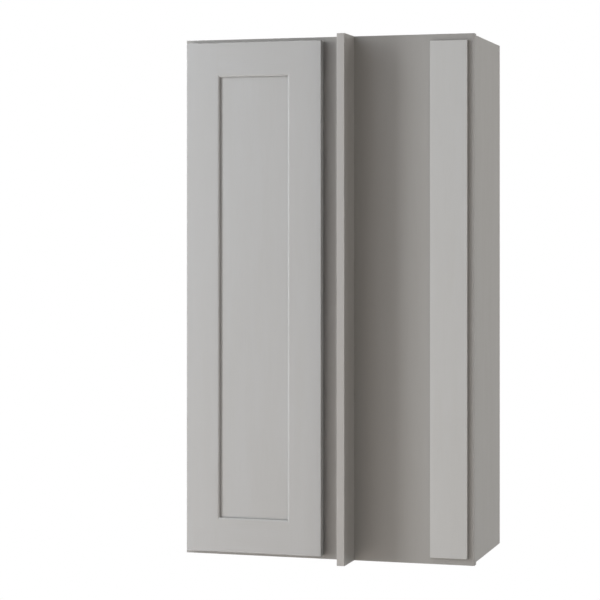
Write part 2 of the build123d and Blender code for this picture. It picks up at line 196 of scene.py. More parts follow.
birch = {
    "light": (234, 217, 188),
    "dark": (222, 200, 167),
    "line": (204, 177, 140),
    "longPly": (222, 201, 167),
    "endPly": (183, 152, 114),
    "wander": {"across": 9.0, "stretch": 6.0, "shift": 1.3, "detail": 2, "wander": 1.1},
    "rings": 30.0,                # waves of the figure over the wander's whole range, times 2 pi
    "figure": {"range": (0.1, 1.0), "shade": 0.55},
    "fibres": {"across": 1500.0, "stretch": 40.0, "detail": 2, "range": (0.35, 0.8), "shade": 0.45},
    "flecks": {"across": 600.0, "stretch": 14.0, "shift": 5.2, "detail": 1, "range": (0.64, 0.75)},
    "fleckShade": 0.3,
    "fleckDepth": 0.6,            # beside the fibres' height of 1
    "plyCount": 7,
    "plySpeckle": {"across": 1800.0, "detail": 2, "range": (0.3, 0.7), "shade": 0.6},
    "edgeBelow": 0.5,             # where the normal points less than this across the sheet, it is an edge
    "edgeRoughness": 0.7,
    "grainDepth": 0.05 * mm,
    "roughness": (0.36, 0.5),
    "roughnessRange": (0.3, 0.7),
    "specular": 0.4,
}


def birchLayer(tree, along):
    wander = pattern(tree, along, birch["wander"])
    rings = maths(tree, "SINE", maths(tree, "MULTIPLY", wander, birch["rings"]))
    figure = between(tree, rings, 0.0, 1.0, -1.0, 1.0)
    fibres = pattern(tree, along, birch["fibres"])
    flecks = between(tree, pattern(tree, along, birch["flecks"]), 0.0, 1.0, *birch["flecks"]["range"])
    light, dark, line = [srgb(*birch[part]) for part in ("light", "dark", "line")]
    tone = blended(tree, shadeOf(tree, figure, birch["figure"]), light, dark)
    tone = blended(tree, shadeOf(tree, fibres, birch["fibres"]), tone, dark)
    tone = blended(tree, maths(tree, "MULTIPLY", flecks, birch["fleckShade"]), tone, line)
    gloss = between(tree, fibres, *birch["roughness"], *birch["roughnessRange"])
    height = maths(tree, "SUBTRACT", fibres, maths(tree, "MULTIPLY", flecks, birch["fleckDepth"]))
    return tone, gloss, height


def plyLayer(tree, across, low, high):
    # plies counted through the sheet from its low face, every second one showing its ends
    depth = between(tree, axisPart(tree, "Object", across), 0.0, birch["plyCount"], low, high)
    odd = maths(tree, "GREATER_THAN", maths(tree, "MODULO", depth, 2.0), 1.0)
    look = birch["plySpeckle"]
    speckle = noise(tree, objectPlace(tree), look["across"], look["detail"])
    ends = blended(tree, shadeOf(tree, speckle, look), srgb(*birch["endPly"]), srgb(*birch["dark"]))
    return blended(tree, odd, srgb(*birch["longPly"]), ends)


def birchPlywood(name, along, across, low, high, paintedPast=None, bandBefore=None):
    # paintedPast: the outer face past that distance from the middle is painted
    # bandBefore: an edge band of veneer covers the plies in front of that depth
    material, tree, shader = newMaterial(name)
    tone, gloss, height = birchLayer(tree, along)
    facing = maths(tree, "ABSOLUTE", axisPart(tree, "Normal", across))
    edge = maths(tree, "LESS_THAN", facing, birch["edgeBelow"])
    if bandBefore is not None:
        behindBand = maths(tree, "GREATER_THAN", axisPart(tree, "Object", "Y"), bandBefore)
        edge = maths(tree, "MULTIPLY", edge, behindBand)
    tone = blended(tree, edge, tone, plyLayer(tree, across, low, high))
    gloss = mixedValue(tree, edge, gloss, birch["edgeRoughness"])
    if paintedPast is not None:
        aside = maths(tree, "ABSOLUTE", axisPart(tree, "Object", "X"))
        outside = maths(tree, "GREATER_THAN", aside, paintedPast)
        paintTone, paintGloss, paintHeight = paintLayer(tree, along, "case")
        tone = blended(tree, outside, tone, paintTone)
        gloss = mixedValue(tree, outside, gloss, paintGloss)
        height = mixedValue(tree, outside, height, paintHeight)
    surfaced(tree, shader, tone, gloss, height, birch)
    return material


# metal and rubber

metals = {
    "nickel_casting": {"light": (205, 202, 196), "dark": (176, 172, 165), "roughness": (0.3, 0.46),
                       "brushed": {"across": 90.0, "stretch": 1.0, "detail": 3}, "depth": 0.05 * mm},
    "nickel_steel": {"light": (214, 212, 208), "dark": (186, 183, 178), "roughness": (0.2, 0.36),
                     "brushed": {"across": 1400.0, "stretch": 30.0, "detail": 3}, "depth": 0.012 * mm},
    "screw_steel": {"light": (205, 204, 200), "dark": (160, 158, 152), "roughness": (0.28, 0.45),
                    "brushed": {"across": 900.0, "stretch": 2.0, "detail": 3}, "depth": 0.015 * mm},
}
brushedRange = (0.3, 0.7)
metalClouds = {"across": 60.0, "stretch": 1.0, "shift": 2.2, "detail": 2, "range": (0.35, 0.7),
               "shade": 1.0}
rubbers = {
    "spacer_rubber": {"colours": ((44, 44, 46), (66, 66, 68)), "roughness": (0.7, 0.9),
                      "grain": {"across": 900.0, "stretch": 1.0, "detail": 3}, "depth": 0.05 * mm},
    "clear_rubber": {"colours": ((236, 236, 230), (222, 222, 214)), "roughness": (0.12, 0.3),
                     "grain": {"across": 300.0, "stretch": 1.0, "detail": 2},
                     "sockets": {"Transmission Weight": 0.85, "IOR": 1.48}},
}


def metal(name):
    look = metals[name]
    material, tree, shader = newMaterial(name)
    brushed, clouds = pattern(tree, "Z", look["brushed"]), pattern(tree, "Z", metalClouds)
    tone = blended(tree, shadeOf(tree, clouds, metalClouds), srgb(*look["light"]), srgb(*look["dark"]))
    tree.links.new(tone, shader.inputs["Base Color"])
    tree.links.new(between(tree, brushed, *look["roughness"], *brushedRange), shader.inputs["Roughness"])
    tree.links.new(raised(tree, brushed, look["depth"]), shader.inputs["Normal"])
    shader.inputs["Metallic"].default_value = 1.0
    return material


def rubber(name):
    look = rubbers[name]
    material, tree, shader = newMaterial(name)
    grain = pattern(tree, "Z", look["grain"])
    first, second = look["colours"]
    tree.links.new(blended(tree, grain, srgb(*first), srgb(*second)), shader.inputs["Base Color"])
    tree.links.new(between(tree, grain, *look["roughness"]), shader.inputs["Roughness"])
    if "depth" in look:
        tree.links.new(raised(tree, grain, look["depth"]), shader.inputs["Normal"])
    for socket, value in look.get("sockets", {}).items():
        shader.inputs[socket].default_value = value
    return material


doorPaint, doorRailPaint = paintedWood("Z", "door"), paintedWood("X", "door")
casePaint, caseRailPaint = paintedWood("Z", "case"), paintedWood("X", "case")
# the strip's paint carries painted light, a lighter copy of the door's paint
litStripPaint, postPaint = paintedWood("Z", "strip"), paintedWood("Z", "post")
casting, steel, screwSteel = metal("nickel_casting"), metal("nickel_steel"), metal("screw_steel")
darkRubber, softClear = rubber("spacer_rubber"), rubber("clear_rubber")


def sheetOf(node, along, across, **more):
    low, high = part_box(node)
    return birchPlywood("birch_plywood_" + node, along, across, low[axisNumber[across]],
                        high[axisNumber[across]], **more)


def finish(material, *names):
    for name in names:
        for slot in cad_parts[name].material_slots:
            slot.material = material


bandThickness = 0.6 * mm          # the veneer band on the shelves' front edges
finish(doorPaint, "door_panel")
finish(postPaint, "corner_post")
finish(litStripPaint, "filler_strip")
finish(casePaint, "hinge_side_stile", "centre_stile", "blind_panel")
finish(caseRailPaint, "top_frame_rail", "bottom_frame_rail")
for name in ("top_deck", "bottom_deck"):
    finish(sheetOf(name, "X", "Z"), name)
for name in ("lower_shelf", "middle_shelf", "upper_shelf"):
    finish(sheetOf(name, "X", "Z", bandBefore=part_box(name)[0].y + bandThickness), name)
finish(sheetOf("back_panel", "Z", "Y"), "back_panel")
for name in ("upper_hanging_rail", "lower_hanging_rail"):
    finish(sheetOf(name, "X", "Y"), name)
print("wood finished")


# small pieces that repeat: read each one's place from its solids in the frame

def islands(node):
    # the corners of each separate solid in a node, in the order of the solids' middles
    shape = bmesh.new()
    shape.from_mesh(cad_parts[node].data)
    bmesh.ops.remove_doubles(shape, verts=shape.verts, dist=weld)
    left, found = set(shape.verts), []
    while left:
        reached, waiting = [], [left.pop()]
        while waiting:
            corner = waiting.pop()
            reached.append(tuple(corner.co))
            near = {edge.other_vert(corner) for edge in corner.link_edges} & left
            left -= near
            waiting.extend(near)
        found.append(np.array(reached))
    shape.free()
    return sorted(found, key=lambda corners: tuple(corners.mean(0).round(5)))


rimShare = 0.97                   # corners this share of the widest radius out, or more, are the head's rim


def collarPlace(corners):
    # where a headed piece meets the surface under its head, and the way that its shank points
    low, high = corners.min(0), corners.max(0)
    axis = int(np.argmax(high - low))
    middle = (low + high) / 2
    off = corners - middle
    off[:, axis] = 0
    out = np.linalg.norm(off, axis=1)
    headEnds = corners[out > rimShare * out.max(), axis]
    ends = (headEnds.min(), headEnds.max())
    shankUp = high[axis] - ends[1] > ends[0] - low[axis]
    point, towards = middle.copy(), np.zeros(3)
    point[axis] = ends[1] if shankUp else ends[0]
    towards[axis] = 1 if shankUp else -1
    return point, towards


def inScene(name, data):
    made = bpy.data.objects.new(name, data)
    bpy.context.scene.collection.objects.link(made)
    return made


def pointsObject(name, places):
    mesh = bpy.data.meshes.new(name)
    mesh.from_pydata([tuple(point) for point, _ in places], [], [])
    ways = mesh.attributes.new("towards", "FLOAT_VECTOR", "POINT")
    ways.data.foreach_set("vector", np.array([way for _, way in places], np.float32).ravel())
    return inScene(name, mesh)


def newGeometryTree(name, sizes):
    tree = bpy.data.node_groups.new(name, "GeometryNodeTree")
    tree.interface.new_socket("Geometry", in_out="OUTPUT", socket_type="NodeSocketGeometry")
    tree.interface.new_socket("Geometry", in_out="INPUT", socket_type="NodeSocketGeometry")
    kinds = {int: "NodeSocketInt", float: "NodeSocketFloat", tuple: "NodeSocketVector"}
    for label, value in sizes.items():
        socket = tree.interface.new_socket(label, in_out="INPUT", socket_type=kinds[type(value)])
        socket.default_value = value
    return tree, addNode(tree, "NodeGroupInput")


def closeTree(tree, geometry, material, smooth=0.7):
    # realize, set the material, and shade the round parts smooth up to an edge angle in radians
    real = addNode(tree, "GeometryNodeRealizeInstances", {"Geometry": geometry}).outputs[0]
    finished = addNode(tree, "GeometryNodeSetMaterial", {"Geometry": real, "Material": material}).outputs[0]
    angle = addNode(tree, "GeometryNodeInputMeshEdgeAngle").outputs["Unsigned Angle"]
    flat = addNode(tree, "FunctionNodeCompare", {"A": angle, "B": smooth}, data_type="FLOAT",
                   operation="LESS_THAN").outputs[0]
    shaded = addNode(tree, "GeometryNodeSetShadeSmooth", {"Geometry": finished, "Shade Smooth": flat},
                     domain="EDGE").outputs[0]
    allFaces = addNode(tree, "GeometryNodeSetShadeSmooth", {"Geometry": shaded, "Shade Smooth": True},
                       domain="FACE").outputs[0]
    tree.links.new(allFaces, addNode(tree, "NodeGroupOutput").inputs[0])


def applied(made):
    # keep what the modifiers make as the object's plain mesh
    seen = bpy.context.evaluated_depsgraph_get()
    made.data = bpy.data.meshes.new_from_object(made.evaluated_get(seen), depsgraph=seen)
    made.modifiers.clear()


def grown(tree, made, sizes):
    # run a tree on an object, with these sizes for its named inputs
    modifier = made.modifiers.new(tree.name, "NODES")
    modifier.node_group = tree
    for socket in tree.interface.items_tree:
        if socket.in_out == "INPUT" and socket.name in sizes:
            modifier[socket.identifier] = sizes[socket.name]
    applied(made)
    return made


def combine(tree, x, y, z):
    return addNode(tree, "ShaderNodeCombineXYZ", {0: x, 1: y, 2: z}).outputs[0]


def moved(tree, geometry, x=0.0, y=0.0, z=0.0, **more):
    shift = {"Geometry": geometry, "Translation": combine(tree, x, y, z)}
    return addNode(tree, "GeometryNodeTransform", {**shift, **more}).outputs[0]


def cylinder(tree, radius, depth, low, sides):
    # a round bar along Z that starts at low
    sockets = {"Vertices": sides, "Radius": radius, "Depth": depth}
    made = addNode(tree, "GeometryNodeMeshCylinder", sockets).outputs[0]
    return moved(tree, made, z=maths(tree, "ADD", low, maths(tree, "MULTIPLY", depth, 0.5)))


def block(tree, width, depth, height, **where):
    made = addNode(tree, "GeometryNodeMeshCube", {"Size": combine(tree, width, depth, height)}).outputs[0]
    return moved(tree, made, **where)


def together(tree, *parts):
    made = addNode(tree, "GeometryNodeJoinGeometry")
    for part in reversed(parts):
        tree.links.new(part, made.inputs[0])
    return made.outputs[0]


def carved(tree, solid, *cutters):
    made = addNode(tree, "GeometryNodeMeshBoolean", operation="DIFFERENCE", solver="EXACT")
    tree.links.new(solid, made.inputs[0])
    for cutter in cutters:
        tree.links.new(cutter, made.inputs[1])
    return made.outputs[0]


def atPlaces(tree, given, shape, upright=False, seed=None):
    # the shape at each point, its Z along the point's own direction
    # upright keeps its Y towards the top, and a seed turns each one about its Z by chance
    way = addNode(tree, "GeometryNodeInputNamedAttribute", {"Name": "towards"},
                  data_type="FLOAT_VECTOR").outputs[0]
    turn = addNode(tree, "FunctionNodeAlignRotationToVector", {"Vector": way}, axis="Z").outputs[0]
    if upright:
        turn = addNode(tree, "FunctionNodeAlignRotationToVector", {"Rotation": turn, "Vector": (0, 0, 1)},
                       axis="Y", pivot_axis="Z").outputs[0]
    if seed is not None:
        chance = addNode(tree, "FunctionNodeRandomValue", {"Seed": seed}, data_type="FLOAT")
        chance.inputs[3].default_value = 2 * math.pi     # the most that it turns by
        about = {"Axis": (0, 0, 1), "Angle": chance.outputs[1]}
        spin = addNode(tree, "FunctionNodeAxisAngleToRotation", about)
        turn = addNode(tree, "FunctionNodeRotateRotation", {"Rotation": turn, "Rotate By": spin.outputs[0]},
                       rotation_space="LOCAL").outputs[0]
    sockets = {"Points": given.outputs["Geometry"], "Instance": shape, "Rotation": turn}
    return addNode(tree, "GeometryNodeInstanceOnPoints", sockets).outputs[0]


def settle(piece, body, slot, *nodes):
    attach(piece, body)
    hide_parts(*nodes)


# screws: domed head with a cross recess, threaded shank and point, each turned as it was driven

cutterReach = 4.0                 # a cutting block's side, in radii of the round piece that it cuts
screwLook = {"Head Radius": 3.6 * mm, "Head Height": 1.1 * mm, "Shank Radius": 1.7 * mm,
             "Length": 13.0 * mm, "Thread Pitch": 1.4 * mm, "Thread Depth": 0.5 * mm,
             "Recess Reach": 1.9 * mm, "Recess Width": 0.75 * mm, "Recess Depth": 0.85 * mm,
             "Point Length": 3.0 * mm, "Point Radius": 0.05 * mm, "Seed": 5}
screwFacets = {"head": 32, "headRings": 20, "shank": 20, "threadTurn": 20, "threadRidge": 3}
screwSets = {
    "hinge_cup_screws": {"body": "door", "Length": 13.0 * mm, "Seed": 11},
    "hinge_plate_screws": {"body": "cabinet", "Length": 14.0 * mm, "Seed": 23},
    "post_screws": {"body": "cabinet", "Length": 44.0 * mm, "Thread Pitch": 2.2 * mm, "Seed": 31},
    "filler_screws": {"body": "cabinet", "Length": 23.05 * mm, "Thread Pitch": 2.2 * mm, "Seed": 47},
    "hinge_adjusting_screws": {"body": "cabinet", "Length": 9.0 * mm, "Head Height": 1.8 * mm,
                               "Shank Radius": 1.95 * mm, "Thread Pitch": 0.7 * mm,
                               "Thread Depth": 0.3 * mm, "Point Length": 0.6 * mm,
                               "Recess Depth": 1.2 * mm, "Seed": 59},
}


def screwHead(tree, size):
    facets = {"Segments": screwFacets["head"], "Rings": screwFacets["headRings"], "Radius": 1.0}
    ball = addNode(tree, "GeometryNodeMeshUVSphere", facets).outputs[0]
    scale = combine(tree, size["Head Radius"], size["Head Radius"], size["Head Height"])
    dome = moved(tree, ball, Scale=scale)
    wide = maths(tree, "MULTIPLY", size["Head Radius"], cutterReach)
    under = block(tree, wide, wide, wide, z=maths(tree, "MULTIPLY", wide, 0.5))
    reach = maths(tree, "MULTIPLY", size["Recess Reach"], 2.0)
    deep = maths(tree, "MULTIPLY", size["Recess Depth"], 2.0)
    top = maths(tree, "MULTIPLY", size["Head Height"], -1.0)
    slotX = block(tree, reach, size["Recess Width"], deep, z=top)
    slotY = block(tree, size["Recess Width"], reach, deep, z=top)
    return carved(tree, dome, under, slotX, slotY)


def screwTree():
    tree, given = newGeometryTree("screws", screwLook)
    size = given.outputs
    head = screwHead(tree, size)
    core = maths(tree, "SUBTRACT", size["Shank Radius"], size["Thread Depth"])
    straight = maths(tree, "SUBTRACT", size["Length"], size["Point Length"])
    shank = cylinder(tree, core, straight, 0.0, screwFacets["shank"])
    cone = {"Vertices": screwFacets["shank"], "Radius Top": size["Point Radius"], "Radius Bottom": core,
            "Depth": size["Point Length"]}
    point = moved(tree, addNode(tree, "GeometryNodeMeshCone", cone).outputs[0], z=straight)
    turns = maths(tree, "DIVIDE", straight, size["Thread Pitch"])
    spiral = {"Resolution": screwFacets["threadTurn"], "Rotations": turns, "Start Radius": core,
              "End Radius": core, "Height": straight}
    helix = addNode(tree, "GeometryNodeCurveSpiral", spiral).outputs[0]
    ring = {"Resolution": screwFacets["threadRidge"], "Radius": size["Thread Depth"]}
    ridge = addNode(tree, "GeometryNodeCurvePrimitiveCircle", ring).outputs[0]
    wound = {"Curve": helix, "Profile Curve": ridge, "Fill Caps": True}
    thread = addNode(tree, "GeometryNodeCurveToMesh", wound).outputs[0]
    screw = together(tree, head, shank, point, thread)
    closeTree(tree, atPlaces(tree, given, screw, seed=size["Seed"]), screwSteel)
    return tree


drivenScrews = screwTree()
for name, look in screwSets.items():
    places = [collarPlace(corners) for corners in islands(name)]
    made = grown(drivenScrews, pointsObject(name + "_driven", places), {**screwLook, **look})
    settle(made, look["body"], "screw_steel", name)
print("screws driven")


# shelf pins: round peg, collar against the side, and a flat on top that carries the shelf

shelfPin = {"Peg Radius": 3.12 * mm, "Insertion": 9.5 * mm, "Reach": 9.0 * mm, "Collar Radius": 4.75 * mm,
            "Collar Thickness": 1.2 * mm, "Flat Height": 2.2 * mm, "End Taper": 0.6 * mm}
pinFacets = 40


def shelfPinTree():
    tree, given = newGeometryTree("shelf_pins", shelfPin)
    size = given.outputs
    back = maths(tree, "MULTIPLY", size["Reach"], -1.0)
    full = maths(tree, "ADD", size["Insertion"], size["Reach"])
    straight = maths(tree, "SUBTRACT", full, size["End Taper"])
    peg = cylinder(tree, size["Peg Radius"], straight, back, pinFacets)
    narrow = maths(tree, "SUBTRACT", size["Peg Radius"], size["End Taper"])
    cone = {"Vertices": pinFacets, "Radius Top": narrow, "Radius Bottom": size["Peg Radius"],
            "Depth": size["End Taper"]}
    tip = moved(tree, addNode(tree, "GeometryNodeMeshCone", cone).outputs[0],
                z=maths(tree, "SUBTRACT", size["Insertion"], size["End Taper"]))
    wide = maths(tree, "MULTIPLY", size["Peg Radius"], cutterReach)
    cut = block(tree, wide, wide, size["Reach"], z=maths(tree, "MULTIPLY", size["Reach"], -0.5),
                y=maths(tree, "ADD", size["Flat Height"], maths(tree, "MULTIPLY", wide, 0.5)))
    rest = carved(tree, peg, cut)
    disc = cylinder(tree, size["Collar Radius"], size["Collar Thickness"],
                    maths(tree, "MULTIPLY", size["Collar Thickness"], -1.0), pinFacets)
    closeTree(tree, atPlaces(tree, given, together(tree, rest, tip, disc), upright=True), steel)
    return tree


pinPlaces = [collarPlace(corners) for corners in islands("shelf_pins")]
roundPins = grown(shelfPinTree(), pointsObject("round_shelf_pins", pinPlaces), shelfPin)
settle(roundPins, "cabinet", "nickel_steel", "shelf_pins")
print("shelf pins set")


# door bumpers: clear domes on the back of the door; spacers: rubber balls squeezed in the panel's groove

bumper = {"Radius": 4.5 * mm, "Height": 2.6 * mm}
spacer = {"Radius": 2.6 * mm, "Thickness": 1.6 * mm}
ballFacets = {"Segments": 40, "Rings": 24, "Radius": 1.0}


def squeezedBall(tree, radius, height):
    ball = addNode(tree, "GeometryNodeMeshUVSphere", ballFacets).outputs[0]
    return moved(tree, ball, Scale=combine(tree, radius, radius, height))


def bumperTree():
    tree, given = newGeometryTree("door_bumpers", bumper)
    size = given.outputs
    dome = squeezedBall(tree, size["Radius"], size["Height"])
    wide = maths(tree, "MULTIPLY", size["Radius"], cutterReach)
    half = block(tree, wide, wide, wide, z=maths(tree, "MULTIPLY", wide, -0.5))
    closeTree(tree, atPlaces(tree, given, carved(tree, dome, half)), softClear)
    return tree


def spacerTree():
    tree, given = newGeometryTree("panel_spacers", spacer)
    size = given.outputs
    ball = squeezedBall(tree, size["Radius"], maths(tree, "MULTIPLY", size["Thickness"], 0.5))
    closeTree(tree, atPlaces(tree, given, ball), darkRubber)
    return tree


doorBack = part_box("door_free_stile")[1].y
bumperPlaces = []
for corners in islands("door_bumpers"):
    centre = (corners.min(0) + corners.max(0)) / 2
    bumperPlaces.append(((centre[0], doorBack, centre[2]), (0, 1, 0)))
domes = grown(bumperTree(), pointsObject("bumper_domes", bumperPlaces), bumper)
settle(domes, "door", "clear_rubber", "door_bumpers")
spacerPlaces = [((corners.min(0) + corners.max(0)) / 2, (1, 0, 0)) for corners in islands("panel_spacers")]
balls = grown(spacerTree(), pointsObject("panel_spacer_balls", spacerPlaces), spacer)
settle(balls, "door", "spacer_rubber", "panel_spacers")
print("bumpers and spacers set")


# side panels: a board grooved for decks and back, and bored with two rows of round pin holes

sidePanel = {"Hole Radius": 3.175 * mm, "Hole Depth": 10.0 * mm, "Hole Pitch": 50.8 * mm, "Hole Count": 15,
             "First Hole": 177.8 * mm, "Groove Gap": 0.1 * mm, "Overrun": 5.0 * mm}
sideFit = {
    "deckPlay": 0.3 * mm,         # past a deck's end, at the bottom of its groove
    "pastFront": 1.0 * mm,        # how far the deck grooves run out at the front
    "paintDepth": 0.15 * mm,      # the outer skin of the panel that counts as painted
    "holeFacets": 28,
    "backGroove": (-1.0, 3.0),    # heights in metres below and above the panel, as it runs right through
}


def spanning(tree, low, high):
    # a block between two corners given as sockets or numbers
    size = addNode(tree, "ShaderNodeVectorMath", {0: high, 1: low}, operation="SUBTRACT").outputs[0]
    total = addNode(tree, "ShaderNodeVectorMath", {0: high, 1: low}, operation="ADD").outputs[0]
    middle = addNode(tree, "ShaderNodeVectorMath", {0: total, "Scale": 0.5}, operation="SCALE").outputs[0]
    cube = addNode(tree, "GeometryNodeMeshCube", {"Size": size}).outputs[0]
    return addNode(tree, "GeometryNodeTransform", {"Geometry": cube, "Translation": middle}).outputs[0]


def sidePanelTree(material, sizes):
    tree, given = newGeometryTree("side_panel", sizes)
    size = given.outputs
    board = spanning(tree, size["Low Corner"], size["High Corner"])
    gap = size["Groove Gap"]
    # a groove is cut from its bottom out past the inner face, whichever side that is
    past = maths(tree, "ADD", size["Inner Face"], maths(tree, "MULTIPLY", size["Inward"], size["Overrun"]))

    def groove(frontY, backY, lowZ, highZ):
        low = combine(tree, maths(tree, "MINIMUM", size["Groove Bottom"], past), frontY, lowZ)
        high = combine(tree, maths(tree, "MAXIMUM", size["Groove Bottom"], past), backY, highZ)
        return spanning(tree, low, high)

    def deckGroove(bottom):
        top = maths(tree, "ADD", size[bottom], size["Deck Thickness"])
        return groove(size["Groove Front"], size["Back Front"], maths(tree, "SUBTRACT", size[bottom], gap),
                      maths(tree, "ADD", top, gap))

    backRear = maths(tree, "ADD", size["Back Front"], size["Back Thickness"])
    backGroove = groove(maths(tree, "SUBTRACT", size["Back Front"], gap), maths(tree, "ADD", backRear, gap),
                        *sideFit["backGroove"])
    bar = {"Vertices": sideFit["holeFacets"], "Radius": size["Hole Radius"],
           "Depth": maths(tree, "MULTIPLY", size["Hole Depth"], 2.0)}
    drill = addNode(tree, "GeometryNodeMeshCylinder", bar).outputs[0]
    laid = {"Geometry": drill, "Rotation": (0, math.pi / 2, 0)}
    drill = addNode(tree, "GeometryNodeTransform", laid).outputs[0]

    def holeRow(y):
        # one bore centred on the inner face at each height
        line = {"Count": size["Hole Count"], "Offset": combine(tree, 0.0, 0.0, size["Hole Pitch"]),
                "Start Location": combine(tree, size["Inner Face"], y, size["First Hole"])}
        row = addNode(tree, "GeometryNodeMeshLine", line).outputs[0]
        bores = addNode(tree, "GeometryNodeInstanceOnPoints", {"Points": row, "Instance": drill}).outputs[0]
        return addNode(tree, "GeometryNodeRealizeInstances", {"Geometry": bores}).outputs[0]

    cutters = [deckGroove("Bottom Groove"), deckGroove("Top Groove"), backGroove,
               holeRow(size["Front Row"]), holeRow(size["Back Row"])]
    closeTree(tree, carved(tree, board, *cutters), material, smooth=0.5)
    return tree


def boredSide(node, side):
    # side is -1 at the left and 1 at the right; the rows of holes lie where the shelf pins stand
    low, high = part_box(node)
    inside, outside = (low.x, high.x) if side > 0 else (high.x, low.x)
    lowerDeck, upperDeck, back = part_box("bottom_deck"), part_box("top_deck"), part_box("back_panel")
    rows = sorted({round(float(point[1]), 6) for point, _ in pinPlaces})
    sizes = {**sidePanel, "Low Corner": tuple(low), "High Corner": tuple(high),
             "Bottom Groove": lowerDeck[0].z, "Top Groove": upperDeck[0].z,
             "Deck Thickness": lowerDeck[1].z - lowerDeck[0].z,
             "Groove Front": low.y - sideFit["pastFront"],
             "Back Front": back[0].y, "Back Thickness": back[1].y - back[0].y,
             "Groove Bottom": side * (lowerDeck[1].x + sideFit["deckPlay"]), "Inner Face": inside,
             "Front Row": rows[0], "Back Row": rows[-1], "Inward": -float(side)}
    material = birchPlywood("birch_plywood_" + node, "Z", "X", low.x, high.x,
                            paintedPast=abs(outside) - sideFit["paintDepth"])
    made = inScene(node + "_bored", bpy.data.meshes.new(node + "_bored"))
    grown(sidePanelTree(material, sizes), made, sizes)
    settle(made, "cabinet", "painted_plywood", node)


boredSide("left_side", -1)
boredSide("right_side", 1)
print("side panels bored")


# hinge castings and pressings: the frame's own shapes with their sharp edges broken

brokenEdge = {
    "cup": 0.18 * mm,
    "arm": 0.35 * mm,
    "plate": 0.35 * mm,
    "steps": 2,
    "sharpest": 35.0,             # degrees; edges that turn more than this are eased
    "flatWithin": 1.0,            # degrees; faces that turn less than this are joined first
}


def mergedCopy(node, name, material):
    # a copy of the node's mesh with its corners joined and its flat faces whole again
    made = inScene(name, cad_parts[node].data.copy())
    made.data.materials.clear()
    made.data.materials.append(material)
    shape = bmesh.new()
    shape.from_mesh(made.data)
    bmesh.ops.remove_doubles(shape, verts=shape.verts, dist=weld)
    bmesh.ops.dissolve_limit(shape, angle_limit=math.radians(brokenEdge["flatWithin"]), verts=shape.verts,
                             edges=shape.edges)
    shape.to_mesh(made.data)
    shape.free()
    return made


def shadedUpTo(made, degrees):
    made.data.shade_smooth()
    made.data.set_sharp_from_angle(angle=math.radians(degrees))


def softened(node, width, material, body, slot):
    made = mergedCopy(node, node + "_eased", material)
    bevel = made.modifiers.new("eased edges", "BEVEL")
    bevel.width = width
    bevel.segments = brokenEdge["steps"]
    bevel.limit_method = "ANGLE"
    bevel.angle_limit = math.radians(brokenEdge["sharpest"])
    applied(made)
    shadedUpTo(made, brokenEdge["sharpest"])
    settle(made, body, slot, node)


for level in ("lower", "middle", "upper"):
    softened(level + "_hinge_cup", brokenEdge["cup"], casting, "door", "nickel_casting")
    softened(level + "_hinge_arm", brokenEdge["arm"], steel, "cabinet", "nickel_steel")
    softened(level + "_hinge_plate", brokenEdge["plate"], steel, "cabinet", "nickel_steel")
    finish(steel, level + "_hinge_pin")
print("hinges finished")


# door members: the frame's own shapes, with the edge of the recess sanded round where the bevel starts

recessEdge = {
    "bevel": 2.2 * mm,            # the members' own bevel round the recess
    "slope": 45.0,                # the bevel's slope in degrees
    "rubbed": 2.4 * mm,           # how far the rounding reaches, over the face and down the bevel alike
    "steps": 8,
    "overrun": 0.1 * mm,          # the cutter's lip past the surfaces, so that it leaves them cleanly
    "sharpest": 25.0,             # degrees; edges that turn more than this stay crisp
}


def roundedOutline():
    # from the face to the bevel, each point a way in from the start of the bevel and a depth below the face
    slope, rubbed, steps = math.radians(recessEdge["slope"]), recessEdge["rubbed"], recessEdge["steps"]
    radius = rubbed / math.tan(slope / 2)
    turns = [slope * step / steps for step in range(steps + 1)]
    arc = [Vector((radius * math.sin(turn) - rubbed, radius * (1 - math.cos(turn)))) for turn in turns]
    lip = arc[0] + (arc[0] - arc[1]).normalized() * recessEdge["overrun"]
    tail = arc[-1] + (arc[-1] - arc[-2]).normalized() * recessEdge["overrun"]
    return [Vector((lip.x, -rubbed)), lip, *arc[1:-1], tail]


def recessCutter():
    # a closed solid of square rings, one for each point of the outline, round the door's recess
    left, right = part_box("door_hinge_stile")[1].x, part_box("door_free_stile")[0].x
    low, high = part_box("door_bottom_rail")[1].z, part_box("door_top_rail")[0].z
    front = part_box("door_hinge_stile")[0].y
    shape, rings = bmesh.new(), []
    for inward, depth in roundedOutline():
        grow = recessEdge["bevel"] - inward
        corners = [(left - grow, low - grow), (right + grow, low - grow), (right + grow, high + grow),
                   (left - grow, high + grow)]
        rings.append([shape.verts.new((x, front + depth, z)) for x, z in corners])
    for outer, inner in zip(rings, rings[1:]):
        for here in range(4):
            there = (here + 1) % 4
            shape.faces.new((outer[here], outer[there], inner[there], inner[here]))
    shape.faces.new(rings[0])
    shape.faces.new(rings[-1])
    bmesh.ops.recalc_face_normals(shape, faces=shape.faces)
    mesh = bpy.data.meshes.new("recess_cutter")
    shape.to_mesh(mesh)
    shape.free()
    return inScene("recess_cutter", mesh)


def rubbedRound(node, cutter, material):
    made = mergedCopy(node, node + "_sanded", material)
    cut = made.modifiers.new("sanded edge", "BOOLEAN")
    cut.object, cut.operation, cut.solver = cutter, "DIFFERENCE", "EXACT"
    applied(made)
    shadedUpTo(made, recessEdge["sharpest"])
    level = made.modifiers.new("flat faces stay flat", "WEIGHTED_NORMAL")
    level.keep_sharp = True
    applied(made)
    settle(made, "door", "painted_wood", node)


cutter = recessCutter()
for name in ("door_hinge_stile", "door_free_stile"):
    rubbedRound(name, cutter, doorPaint)
for name in ("door_top_rail", "door_bottom_rail"):
    rubbedRound(name, cutter, doorRailPaint)
bpy.data.objects.remove(cutter)
print("door sanded")


# floor, background, lamps and camera

